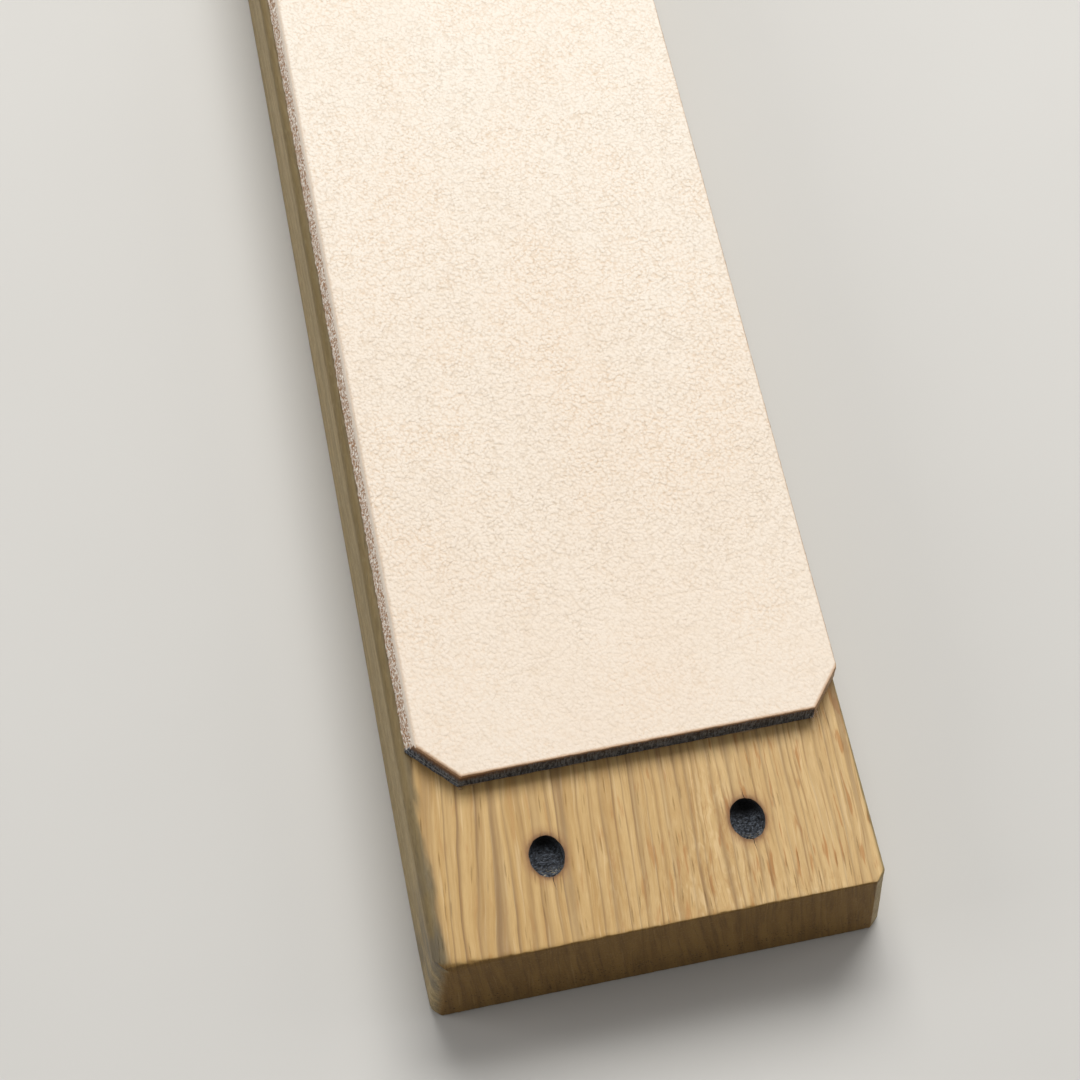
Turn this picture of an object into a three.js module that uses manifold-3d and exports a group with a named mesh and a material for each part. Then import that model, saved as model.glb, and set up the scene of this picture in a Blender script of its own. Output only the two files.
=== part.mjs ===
// Leather strop for carving tools: an oak bar with a strip of vegetable-tanned leather glued on top.
// Millimetres, +Z up, +Y along the bar from the marked end, +X across it.
// The origin is the middle of the bar's underside.
import * as THREE from 'three';
import { mergeVertices } from 'three/addons/utils/BufferGeometryUtils.js';
import Module from 'manifold-3d';

// Oak bar
const BAR_LENGTH = 250;
const BAR_WIDTH = 50;
const BAR_THICKNESS = 13.5;
const SIDE_DRAFT = 0.92;
const TOP_EDGE_EASING = 1.0;
const RIGHT_EDGE_EASING = 0.35;
const BOTTOM_EDGE_EASING = 0.7;
const CORNER_CLIP = 1.2;
const END_SKEW = 1.5;
const EASING_STEPS = 6;

// Burned marker dots at the marked end
const DOT_WIDTH = 3.7;
const DOT_LENGTH = 4.7;
const DOT_DEPTH = 1.7;
const DOT_WALL_DEPTH = 0.7;
const DOT_SETBACK = 10.7;
const DOT_SPACING = 21.6;
const DOT_MIDDLE_X = 0.4;
const DOT_STAGGER = 0.2;
const DOT_SEGMENTS = 32;
const DOT_BOWL_STEPS = 6;

// Leather strip
const LEATHER_THICKNESS = 2.4;
const LEATHER_OVERHANG = 1.2;
const LEATHER_SETBACK = 19.7;
const LEATHER_BEVEL = 1.05;
const LEFT_CLIP_ACROSS = 5.2;
const LEFT_CLIP_ALONG = 5.6;
const RIGHT_CLIP_ACROSS = 3.5;
const RIGHT_CLIP_ALONG = 4.5;

// Glue film under the leather
const GLUE_THICKNESS = 0.15;
const GLUE_INSET = 0.4;

const HALF_LENGTH = BAR_LENGTH / 2;
const HALF_WIDTH = BAR_WIDTH / 2;
const FLAT_TOP_HALF_WIDTH = HALF_WIDTH - SIDE_DRAFT - TOP_EDGE_EASING;
const LEATHER_LEFT = -FLAT_TOP_HALF_WIDTH;
const LEATHER_RIGHT = FLAT_TOP_HALF_WIDTH + LEATHER_OVERHANG;
const LEATHER_BOTTOM = BAR_THICKNESS + GLUE_THICKNESS;
const CUT_MARGIN = 1;

const wasm = await Module();
wasm.setup();

function toManifold(geometry) {
  const bare = new THREE.BufferGeometry();
  bare.setAttribute('position', geometry.getAttribute('position'));
  bare.setIndex(geometry.getIndex());
  const welded = mergeVertices(bare, 1e-4);
  return new wasm.Manifold(new wasm.Mesh({
    numProp: 3,
    vertProperties: new Float32Array(welded.getAttribute('position').array),
    triVerts: new Uint32Array(welded.getIndex().array),
  }));
}

function toGeometry(solid) {
  const mesh = solid.getMesh();
  const geometry = new THREE.BufferGeometry();
  geometry.setAttribute('position', new THREE.BufferAttribute(new Float32Array(mesh.vertProperties), 3));
  geometry.setIndex(new THREE.BufferAttribute(new Uint32Array(mesh.triVerts), 1));
  geometry.computeVertexNormals();
  return geometry;
}

// The marked end is sawn slightly out of square: this is how far it steps back at a given x,
// from nothing where the left corner's clip starts.
function skewAt(x) {
  return END_SKEW * (x + HALF_WIDTH - CORNER_CLIP) / BAR_WIDTH;
}

// Eight-sided outline seen from above: a rectangle with clipped corners and a skewed near end.
// Each clip is [how far across, how far along] it reaches from the corner.
function clippedOutline({ left, right, near, far, leftClip, rightClip }) {
  const outline = new THREE.Shape();
  outline.moveTo(left, near + skewAt(left) + leftClip[1]);
  outline.lineTo(left + leftClip[0], near + skewAt(left + leftClip[0]));
  outline.lineTo(right - rightClip[0], near + skewAt(right - rightClip[0]));
  outline.lineTo(right, near + skewAt(right) + rightClip[1]);
  outline.lineTo(right, far - rightClip[1]);
  outline.lineTo(right - rightClip[0], far);
  outline.lineTo(left + leftClip[0], far);
  outline.lineTo(left, far - leftClip[1]);
  outline.closePath();
  return outline;
}

function plate(outline, bottom, thickness) {
  const geometry = new THREE.ExtrudeGeometry(outline, { depth: thickness, bevelEnabled: false });
  geometry.translate(0, 0, bottom);
  return geometry;
}

// Cross-section of the bar: the sides lean in towards the top and every long edge is eased,
// the top left one the most.
function barSection() {
  const topHalf = HALF_WIDTH - SIDE_DRAFT;
  const section = new THREE.Shape();
  section.moveTo(-HALF_WIDTH + BOTTOM_EDGE_EASING, 0);
  section.lineTo(HALF_WIDTH - BOTTOM_EDGE_EASING, 0);
  section.quadraticCurveTo(HALF_WIDTH, 0, HALF_WIDTH, BOTTOM_EDGE_EASING);
  section.lineTo(topHalf, BAR_THICKNESS - RIGHT_EDGE_EASING);
  section.quadraticCurveTo(topHalf, BAR_THICKNESS, topHalf - RIGHT_EDGE_EASING, BAR_THICKNESS);
  section.lineTo(-FLAT_TOP_HALF_WIDTH, BAR_THICKNESS);
  section.quadraticCurveTo(-topHalf, BAR_THICKNESS, -topHalf, BAR_THICKNESS - TOP_EDGE_EASING);
  section.lineTo(-HALF_WIDTH, BOTTOM_EDGE_EASING);
  section.quadraticCurveTo(-HALF_WIDTH, 0, -HALF_WIDTH + BOTTOM_EDGE_EASING, 0);
  return section;
}

// A prism that trims the section to length and clips the four upright corners along the leaning sides.
function barTrimmer() {
  const clip = [CORNER_CLIP + CUT_MARGIN, CORNER_CLIP + CUT_MARGIN];
  const outline = clippedOutline({
    left: -HALF_WIDTH - CUT_MARGIN,
    right: HALF_WIDTH + CUT_MARGIN,
    near: -HALF_LENGTH,
    far: HALF_LENGTH,
    leftClip: clip,
    rightClip: clip,
  });
  const geometry = plate(outline, 0, BAR_THICKNESS);
  const position = geometry.getAttribute('position');
  for (let i = 0; i < position.count; i += 1) {
    const lean = SIDE_DRAFT * position.getZ(i) / BAR_THICKNESS;
    position.setX(i, position.getX(i) - Math.sign(position.getX(i)) * lean);
  }
  geometry.scale(1, 1, 1 + 2 * CUT_MARGIN / BAR_THICKNESS);
  geometry.translate(0, 0, -CUT_MARGIN);
  return geometry;
}

// A dished pit on one side: a short upright wall over a bowl, longer along the grain than across it.
function dotPit(side) {
  const radius = DOT_WIDTH / 2;
  const bowlDepth = DOT_DEPTH - DOT_WALL_DEPTH;
  const profile = [new THREE.Vector2(0, CUT_MARGIN), new THREE.Vector2(radius, CUT_MARGIN)];
  for (let i = 0; i < DOT_BOWL_STEPS; i += 1) {
    const angle = (i / DOT_BOWL_STEPS) * Math.PI / 2;
    const height = -DOT_WALL_DEPTH - bowlDepth * Math.sin(angle);
    profile.push(new THREE.Vector2(radius * Math.cos(angle), height));
  }
  profile.push(new THREE.Vector2(0, -DOT_DEPTH));
  const geometry = new THREE.LatheGeometry(profile.reverse(), DOT_SEGMENTS);
  geometry.rotateX(Math.PI / 2);
  geometry.scale(1, DOT_LENGTH / DOT_WIDTH, 1);
  geometry.translate(
    DOT_MIDDLE_X + side * DOT_SPACING / 2,
    -HALF_LENGTH + DOT_SETBACK + side * DOT_STAGGER,
    BAR_THICKNESS,
  );
  return geometry;
}

function oakBarGeometry() {
  const stick = new THREE.ExtrudeGeometry(barSection(), {
    depth: BAR_LENGTH + 2 * CUT_MARGIN,
    bevelEnabled: false,
    curveSegments: EASING_STEPS,
  });
  stick.rotateX(Math.PI / 2);
  stick.translate(0, HALF_LENGTH + CUT_MARGIN, 0);
  let bar = toManifold(stick).intersect(toManifold(barTrimmer()));
  for (const side of [-1, 1]) {
    bar = bar.subtract(toManifold(dotPit(side)));
  }
  return toGeometry(bar);
}

// A wedge that bevels the leather's left long edge from its full width below to a narrower top.
function bevelWedge() {
  const top = LEATHER_BOTTOM + LEATHER_THICKNESS;
  const slope = LEATHER_BEVEL / LEATHER_THICKNESS;
  const section = new THREE.Shape();
  section.moveTo(LEATHER_LEFT - slope * CUT_MARGIN, LEATHER_BOTTOM - CUT_MARGIN);
  section.lineTo(LEATHER_LEFT + LEATHER_BEVEL + slope * CUT_MARGIN, top + CUT_MARGIN);
  section.lineTo(LEATHER_LEFT - LEATHER_BEVEL, top + CUT_MARGIN);
  section.lineTo(LEATHER_LEFT - LEATHER_BEVEL, LEATHER_BOTTOM - CUT_MARGIN);
  section.closePath();
  const geometry = new THREE.ExtrudeGeometry(section, { depth: BAR_LENGTH, bevelEnabled: false });
  geometry.rotateX(Math.PI / 2);
  geometry.translate(0, HALF_LENGTH, 0);
  return geometry;
}

function leatherGeometry() {
  const outline = clippedOutline({
    left: LEATHER_LEFT,
    right: LEATHER_RIGHT,
    near: -HALF_LENGTH + LEATHER_SETBACK,
    far: HALF_LENGTH - LEATHER_SETBACK,
    leftClip: [LEFT_CLIP_ACROSS, LEFT_CLIP_ALONG],
    rightClip: [RIGHT_CLIP_ACROSS, RIGHT_CLIP_ALONG],
  });
  const strip = toManifold(plate(outline, LEATHER_BOTTOM, LEATHER_THICKNESS));
  return toGeometry(strip.subtract(toManifold(bevelWedge())));
}

// The film stops short of the leather's outline, and where the bar's top starts to round over.
function glueGeometry() {
  const outline = clippedOutline({
    left: LEATHER_LEFT + GLUE_INSET,
    right: FLAT_TOP_HALF_WIDTH,
    near: -HALF_LENGTH + LEATHER_SETBACK + GLUE_INSET,
    far: HALF_LENGTH - LEATHER_SETBACK - GLUE_INSET,
    leftClip: [LEFT_CLIP_ACROSS, LEFT_CLIP_ALONG],
    rightClip: [RIGHT_CLIP_ACROSS, RIGHT_CLIP_ALONG],
  });
  return plate(outline, BAR_THICKNESS, GLUE_THICKNESS);
}

function addPiece(group, name, geometry, color, roughness) {
  const material = new THREE.MeshStandardMaterial({ color, roughness, metalness: 0 });
  const mesh = new THREE.Mesh(geometry, material);
  mesh.name = name;
  group.add(mesh);
}

const strop = new THREE.Group();
addPiece(strop, 'oak_bar', oakBarGeometry(), 0xc29a62, 0.6);
addPiece(strop, 'glue_film', glueGeometry(), 0xd8cdb4, 0.4);
addPiece(strop, 'leather_strip', leatherGeometry(), 0xe6cdae, 0.7);

export default strop;
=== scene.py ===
"""Looks of the leather strop: an oak bar with a glued strip of vegetable-tanned leather.

Blender works in metres; the sizes named here are in millimetres and are scaled once, when a mesh is made.
Lamps and the camera are placed in metres.
+Y runs along the bar from the end with the two burned dots, +X across it and +Z up.
"""

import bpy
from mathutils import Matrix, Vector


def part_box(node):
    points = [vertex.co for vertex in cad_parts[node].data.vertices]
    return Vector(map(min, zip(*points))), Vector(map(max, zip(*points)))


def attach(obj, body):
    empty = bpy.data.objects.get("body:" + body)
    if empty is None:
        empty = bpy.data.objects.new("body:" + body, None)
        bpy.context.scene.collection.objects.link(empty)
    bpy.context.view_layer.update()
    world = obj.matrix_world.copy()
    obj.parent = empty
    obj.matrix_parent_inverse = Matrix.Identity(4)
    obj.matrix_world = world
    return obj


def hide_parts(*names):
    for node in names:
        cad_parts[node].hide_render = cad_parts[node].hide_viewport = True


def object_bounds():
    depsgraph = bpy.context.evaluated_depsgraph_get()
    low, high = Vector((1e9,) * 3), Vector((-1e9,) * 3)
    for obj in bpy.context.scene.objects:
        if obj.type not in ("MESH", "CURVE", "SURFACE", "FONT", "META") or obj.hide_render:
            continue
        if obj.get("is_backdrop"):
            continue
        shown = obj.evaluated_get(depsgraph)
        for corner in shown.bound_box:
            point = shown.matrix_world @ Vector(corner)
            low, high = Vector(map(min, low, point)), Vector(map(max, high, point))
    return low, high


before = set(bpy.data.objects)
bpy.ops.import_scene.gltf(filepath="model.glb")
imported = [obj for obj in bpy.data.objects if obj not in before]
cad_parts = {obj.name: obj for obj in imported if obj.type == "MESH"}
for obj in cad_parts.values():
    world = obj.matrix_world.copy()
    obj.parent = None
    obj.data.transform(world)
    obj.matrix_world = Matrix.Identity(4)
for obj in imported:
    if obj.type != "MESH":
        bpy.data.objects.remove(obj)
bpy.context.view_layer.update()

import math
import random

import bmesh
import bpy
import numpy as np
from mathutils import Matrix, Vector, noise

MM = 0.001


def box_mm(node):
    low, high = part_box(node)
    return np.array(low) / MM, np.array(high) / MM


BAR_HIGH = box_mm("oak_bar")[1]
STRIP_LOW, STRIP_HIGH = box_mm("leather_strip")

# Oak bar
HALF_WIDTH = BAR_HIGH[0]
HALF_LENGTH = BAR_HIGH[1]
BAR_TOP = BAR_HIGH[2]
SIDE_DRAFT = 0.92
TOP_EDGE_EASING = 1.0
RIGHT_EDGE_EASING = 0.35
BOTTOM_EDGE_EASING = 0.7
END_EDGE_EASING = 0.28
BOTTOM_END_EASING = 0.45
END_SKEW = 1.5
CORNER_CLIP = 1.2
CLIP_REACH = 8.0
WORN_CORNER = 1.75
WORN_REACH = 5.0

# Burned dots
DOT_WIDTH = 3.7
DOT_LENGTH = 4.7
DOT_DEPTH = 1.7
DOT_WALL_DEPTH = 0.75
DOT_SETBACK = 10.7
DOT_SPACING = 21.6
DOT_MIDDLE_X = 0.4
DOT_STAGGER = 0.2

# Leather strip
LEATHER_BOTTOM = STRIP_LOW[2]
LEATHER_TOP = STRIP_HIGH[2]
LEATHER_HEIGHT = LEATHER_TOP - LEATHER_BOTTOM
LEATHER_LEFT = STRIP_LOW[0]
LEATHER_RIGHT = STRIP_HIGH[0]
LEATHER_WIDTH = LEATHER_RIGHT - LEATHER_LEFT
LEATHER_SETBACK = 19.7
LEATHER_START = -HALF_LENGTH + LEATHER_SETBACK
LEATHER_LENGTH = 2 * (HALF_LENGTH - LEATHER_SETBACK)
LEATHER_BEVEL = 1.05
LEFT_CLIP = (5.2, 5.6)
RIGHT_CLIP = (3.5, 4.5)
CLIP_SLOPE = 0.08
RIM_EASING = 0.22
RAW_EDGE_HEIGHT = 1.35
EDGE_FIBRES = 5200
CORNER_FIBRES = 16

# Glue bead, as half its size along each axis
BEAD = (0.24, 0.2, 0.16)


def skew_at(x):
    """How far the sawn end steps back at x, because it is slightly out of square."""
    return END_SKEW * (x + HALF_WIDTH - CORNER_CLIP) / (2 * HALF_WIDTH)


DOT_Y = -HALF_LENGTH + DOT_SETBACK
DOT_CENTRES = [(DOT_MIDDLE_X + side * DOT_SPACING / 2, DOT_Y + side * DOT_STAGGER) for side in (-1, 1)]

# Cracks out of each dot: (shift across, direction along, length, width, bend)
CRACKS = [
    [(0.15, -1, 1.6, 0.16, 0.12), (-0.25, 1, 0.6, 0.12, 0.05)],
    [(0.1, -1, 1.5, 0.15, 0.1), (0.2, 1, 1.3, 0.14, -0.15)],
]


# ---------------------------------------------------------------- node graphs


class Graph:
    """A material's node tree, with short calls for the nodes that these materials use."""

    def __init__(self, name):
        self.material = bpy.data.materials.new(name)
        self.material.use_nodes = True
        self.tree = self.material.node_tree
        self.shader = self.tree.nodes["Principled BSDF"]
        coordinates = self.tree.nodes.new("ShaderNodeTexCoord")
        scaled = self.add("ShaderNodeVectorMath", operation="SCALE")
        self.feed(scaled.inputs[0], coordinates.outputs["Object"])
        scaled.inputs["Scale"].default_value = 1 / MM
        self.position = scaled.outputs[0]
        parts = self.add("ShaderNodeSeparateXYZ")
        self.feed(parts.inputs[0], self.position)
        self.x, self.y, self.z = parts.outputs
        facing = self.add("ShaderNodeSeparateXYZ")
        self.feed(facing.inputs[0], coordinates.outputs["Normal"])
        self.facing_x, self.facing_y, self.facing_z = facing.outputs

    def add(self, kind, **settings):
        node = self.tree.nodes.new(kind)
        for key, value in settings.items():
            setattr(node, key, value)
        return node

    def feed(self, socket, value):
        if isinstance(value, bpy.types.NodeSocket):
            self.tree.links.new(value, socket)
        else:
            socket.default_value = value

    def math(self, operation, *values):
        node = self.add("ShaderNodeMath", operation=operation)
        for socket, value in zip(node.inputs, values):
            self.feed(socket, value)
        return node.outputs[0]

    def join(self, x, y, z):
        node = self.add("ShaderNodeCombineXYZ")
        for socket, value in zip(node.inputs, (x, y, z)):
            self.feed(socket, value)
        return node.outputs[0]

    def stretch(self, vector, scale, rotation=(0, 0, 0), location=(0, 0, 0)):
        node = self.add("ShaderNodeMapping")
        self.feed(node.inputs["Vector"], vector)
        node.inputs["Scale"].default_value = scale
        node.inputs["Rotation"].default_value = [math.radians(a) for a in rotation]
        node.inputs["Location"].default_value = location
        return node.outputs[0]

    def noise(self, vector, detail=2.0, roughness=0.5, distortion=0.0):
        """Smooth noise with one swell per unit of the vector, which stretch() scales."""
        node = self.add("ShaderNodeTexNoise")
        self.feed(node.inputs["Vector"], vector)
        node.inputs["Scale"].default_value = 1.0
        node.inputs["Detail"].default_value = detail
        node.inputs["Roughness"].default_value = roughness
        node.inputs["Distortion"].default_value = distortion
        return node.outputs["Fac"]

    def cells(self, vector, feature="F1", randomness=1.0):
        """Voronoi cells, one per unit of the vector."""
        node = self.add("ShaderNodeTexVoronoi", feature=feature)
        self.feed(node.inputs["Vector"], vector)
        node.inputs["Scale"].default_value = 1.0
        node.inputs["Randomness"].default_value = randomness
        if feature == "SMOOTH_F1":
            node.inputs["Smoothness"].default_value = 0.5
        return node

    def step(self, value, low, high, start=0.0, end=1.0):
        """Goes smoothly from start to end as value goes from low to high."""
        node = self.add("ShaderNodeMapRange", interpolation_type="SMOOTHSTEP")
        self.feed(node.inputs["Value"], value)
        for key, number in (("From Min", low), ("From Max", high), ("To Min", start), ("To Max", end)):
            node.inputs[key].default_value = number
        return node.outputs["Result"]

    def cell_random(self, cells):
        """One random number per cell of a cell texture."""
        parts = self.add("ShaderNodeSeparateColor")
        self.feed(parts.inputs[0], cells.outputs["Color"])
        return parts.outputs[0]

    def plus(self, first, second):
        return self.math("ADD", first, second)

    def minus(self, first, second):
        return self.math("SUBTRACT", first, second)

    def times(self, *factors):
        total = factors[0]
        for factor in factors[1:]:
            total = self.math("MULTIPLY", total, factor)
        return total

    def ramp(self, value, stops):
        node = self.add("ShaderNodeValToRGB")
        self.feed(node.inputs["Fac"], value)
        elements = node.color_ramp.elements
        while len(elements) < len(stops):
            elements.new(0.5)
        for element, (position, level) in zip(elements, stops):
            element.position = position
            element.color = (level, level, level, 1)
        return node.outputs["Color"]

    def mix(self, factor, first, second, blend="MIX"):
        node = self.add("ShaderNodeMix", data_type="RGBA", blend_type=blend)
        self.feed(node.inputs[0], factor)
        for socket, value in ((node.inputs[6], first), (node.inputs[7], second)):
            colour = value if isinstance(value, bpy.types.NodeSocket) else (*value, 1)
            self.feed(socket, colour)
        return node.outputs[2]

    def sum(self, *terms):
        """Adds up (socket, weight) pairs."""
        total = None
        for socket, weight in terms:
            part = self.math("MULTIPLY", socket, weight)
            total = part if total is None else self.math("ADD", total, part)
        return total

    def finish(self, colour, roughness, height, depth_mm, specular=0.4):
        self.feed(self.shader.inputs["Base Color"], colour)
        self.feed(self.shader.inputs["Roughness"], roughness)
        self.shader.inputs["Specular IOR Level"].default_value = specular
        bump = self.add("ShaderNodeBump")
        bump.inputs["Distance"].default_value = depth_mm * MM
        self.feed(bump.inputs["Height"], height)
        self.feed(self.shader.inputs["Normal"], bump.outputs[0])
        return self.material


# ---------------------------------------------------------------- materials


def grain_position(g):
    """How far across the rings each point is. The grain runs out to the left towards the marked end."""
    along = g.plus(g.y, -DOT_Y)
    bend = g.times(g.math("TANH", g.times(along, 1 / 45)), 45)
    lean = g.plus(g.times(g.x, -0.0006), 0.07)
    drift = g.noise(g.stretch(g.position, (0.06, 0.012, 0.015)), detail=2)
    wander = g.noise(g.stretch(g.position, (0.3, 0.07, 0.05), location=(7, 3, 1)), detail=2)
    return g.sum((g.x, 1.0), (g.times(bend, lean), -1.0), (drift, 5.0), (wander, 1.1), (g.z, 0.1))


def ring_lines(g, across):
    """Dark lines where each year's rings meet the surface, closer together towards the right."""
    crowding = g.plus(g.times(across, 0.004), 0.74)
    jitter = g.noise(g.join(g.times(across, 0.5), 0.0, 0.0), detail=2)
    rings = g.math("FRACT", g.plus(g.times(across, crowding), g.times(jitter, 2.4)))
    profile = [(0.0, 0.75), (0.05, 1.0), (0.15, 0.7), (0.3, 0.28), (0.6, 0.0), (0.9, 0.08), (1.0, 0.75)]
    strength = g.noise(g.stretch(g.join(across, g.y, g.z), (0.6, 0.03, 0.1), location=(2, 9, 4)), detail=2)
    return g.times(g.ramp(rings, profile), g.step(strength, 0.35, 0.62, 0.5, 1.15))


def wood_pores(g, figure):
    """Short dark dashes: pores cut open lengthways."""
    cells = g.cells(g.stretch(figure, (3.6, 0.22, 2.4)))
    chosen = g.math("LESS_THAN", g.cell_random(cells), 0.35)
    return g.times(g.step(cells.outputs["Distance"], 0.08, 0.3, 1.0, 0.0), chosen)


def ray_flecks(g, figure):
    """Pale and amber patches where the saw met the rays, strongest in the middle and on the right."""
    turned = g.stretch(figure, (1.7, 0.38, 1.2), rotation=(0, 0, -8))
    ripple = g.noise(turned, detail=3, roughness=0.6, distortion=0.7)
    patch = g.noise(g.stretch(g.position, (0.10, 0.06, 0.1), location=(1, 6, 0)), detail=1)
    zone = g.times(g.step(g.x, -12, 2), g.step(patch, 0.35, 0.6, 0.25, 1.0))
    return g.times(g.step(ripple, 0.5, 0.62), zone), g.times(g.step(ripple, 0.36, 0.46, 1.0, 0.0), zone)


def scorch_halo(g, inner, outer):
    """1 within inner times a burned dot's radius, falling to 0 at outer times its radius."""
    halo = None
    ragged = g.noise(g.stretch(g.position, (2.4, 0.9, 1.0)), detail=3)
    for x, y in DOT_CENTRES:
        across = g.times(g.plus(g.x, -x), 2 / DOT_WIDTH)
        along = g.times(g.plus(g.y, -y), 2 / DOT_LENGTH)
        reach = g.math("SQRT", g.plus(g.times(across, across), g.times(along, along)))
        near = g.step(g.plus(reach, g.times(ragged, -0.3)), inner, outer, 1.0, 0.0)
        halo = near if halo is None else g.math("MAXIMUM", halo, near)
    return halo


def left_edge_grey_patch(g):
    """A grey patch on the left top edge beside the marked end."""
    from_left = g.step(g.x, -HALF_WIDTH + 1.4, -HALF_WIDTH + 3.6, 1.0, 0.0)
    from_end = g.step(g.y, -HALF_LENGTH + 5, -HALF_LENGTH + 16, 1.0, 0.0)
    blotch = g.step(g.noise(g.stretch(g.position, (0.5, 0.2, 0.5), location=(0, 2, 0)), detail=3), 0.38, 0.6)
    return g.times(from_left, from_end, blotch)


def planed_top_colour(g, figure, line, fibres):
    """Honey-coloured planed oak, paler to the right."""
    streaks = g.noise(g.stretch(figure, (1.1, 0.035, 1.0)), detail=4, roughness=0.6)
    colour = g.mix(g.step(streaks, 0.32, 0.68), (0.60, 0.40, 0.168), (0.475, 0.288, 0.10))
    colour = g.mix(g.step(g.x, -14, 24, 0.0, 0.45), colour, (0.68, 0.48, 0.235))
    pale_fleck, amber_fleck = ray_flecks(g, figure)
    colour = g.mix(g.times(pale_fleck, 0.45), colour, (0.74, 0.54, 0.29))
    colour = g.mix(g.times(amber_fleck, 0.4), colour, (0.42, 0.215, 0.065))
    cream = g.step(g.noise(g.stretch(figure, (3.4, 0.10, 2.0), location=(1, 1, 6)), detail=2), 0.56, 0.7)
    colour = g.mix(g.times(cream, 0.34), colour, (0.76, 0.58, 0.34))
    right = g.step(g.x, -12, 10, 0.35, 1.0)
    dashes = g.step(g.noise(g.stretch(figure, (4.2, 0.13, 2.5), location=(5, 1, 3)), detail=3), 0.55, 0.68)
    colour = g.mix(g.times(dashes, right, 0.5), colour, (0.32, 0.165, 0.052))
    amber = g.step(g.noise(g.stretch(figure, (1.9, 0.22, 1.5), location=(4, 4, 4)), detail=2), 0.58, 0.7)
    colour = g.mix(g.times(amber, right, 0.75), colour, (0.42, 0.19, 0.05))
    weight = g.step(g.x, -6, 16, 0.7, 0.5)
    colour = g.mix(g.times(line, weight), colour, (0.215, 0.125, 0.055))
    return g.mix(g.times(g.step(fibres, 0.38, 0.68), 0.13), colour, (0.29, 0.165, 0.065))


def side_colour(g, fibres):
    """The long sides: a duller olive brown, with painted shade darkest along the left one's eased top edge.
    """
    bands = g.noise(g.stretch(g.position, (0.5, 0.03, 1.1), location=(8, 0, 0)), detail=4, roughness=0.6)
    colour = g.mix(g.step(bands, 0.34, 0.66), (0.26, 0.195, 0.082), (0.39, 0.29, 0.142))
    colour = g.mix(g.times(g.step(fibres, 0.4, 0.66), 0.5), colour, (0.12, 0.085, 0.036))
    grit = g.noise(g.stretch(g.position, (3.5, 0.9, 3.0), location=(2, 2, 9)), detail=4, roughness=0.7)
    colour = g.mix(g.times(g.step(grit, 0.52, 0.7), 0.6), colour, (0.47, 0.385, 0.22))
    pits = g.noise(g.stretch(g.position, (2.2, 0.3, 2.8), location=(6, 2, 1)), detail=3, roughness=0.7)
    colour = g.mix(g.times(g.step(pits, 0.55, 0.7), 0.65), colour, (0.085, 0.062, 0.027))
    # Painted shade along the top of each side, far stronger on the left.
    painted_top_edge_shade = g.times(g.step(g.z, BAR_TOP - 1.2, BAR_TOP - 0.35), g.step(g.x, -10, 10, 0.72, 0.05))
    return g.mix(painted_top_edge_shade, colour, (0.10, 0.073, 0.03))


def end_colour(g, across, line):
    """The sawn ends: dark brown with the ring lines standing upright, and open pores low down."""
    upright = g.join(across, 0.0, g.times(g.z, 0.1))
    bands = g.noise(g.stretch(upright, (0.9, 1.0, 0.8)), detail=3, roughness=0.6)
    colour = g.mix(g.step(bands, 0.32, 0.68), (0.245, 0.138, 0.036), (0.19, 0.103, 0.025))
    thin = g.noise(g.stretch(upright, (3.4, 1.0, 1.5), location=(2, 0, 5)), detail=2)
    colour = g.mix(g.times(g.step(thin, 0.5, 0.68), 0.34), colour, (0.085, 0.043, 0.013))
    colour = g.mix(g.times(line, 0.3), colour, (0.09, 0.045, 0.014))
    pale = g.step(g.noise(g.stretch(upright, (2.6, 1.0, 1.0), location=(9, 0, 1)), detail=2), 0.62, 0.72)
    colour = g.mix(g.times(pale, 0.4), colour, (0.36, 0.225, 0.085))
    flecks = g.noise(g.stretch(g.position, (4.0, 1.0, 2.2)), detail=4, roughness=0.65)
    colour = g.mix(g.times(g.step(flecks, 0.54, 0.72), 0.45), colour, (0.33, 0.205, 0.075))
    cells = g.cells(g.stretch(g.position, (2.2, 1.0, 2.8)))
    low = g.times(g.step(g.z, 3.5, 6.5, 1.0, 0.06), g.step(g.z, 0.8, 2.0, 0.1, 1.0))
    holes = g.times(g.step(cells.outputs["Distance"], 0.14, 0.28, 1.0, 0.0), low)
    holes = g.times(holes, g.math("LESS_THAN", g.cell_random(cells), 0.6))
    return g.mix(g.times(holes, 0.85), colour, (0.022, 0.011, 0.004)), flecks, holes


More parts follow.
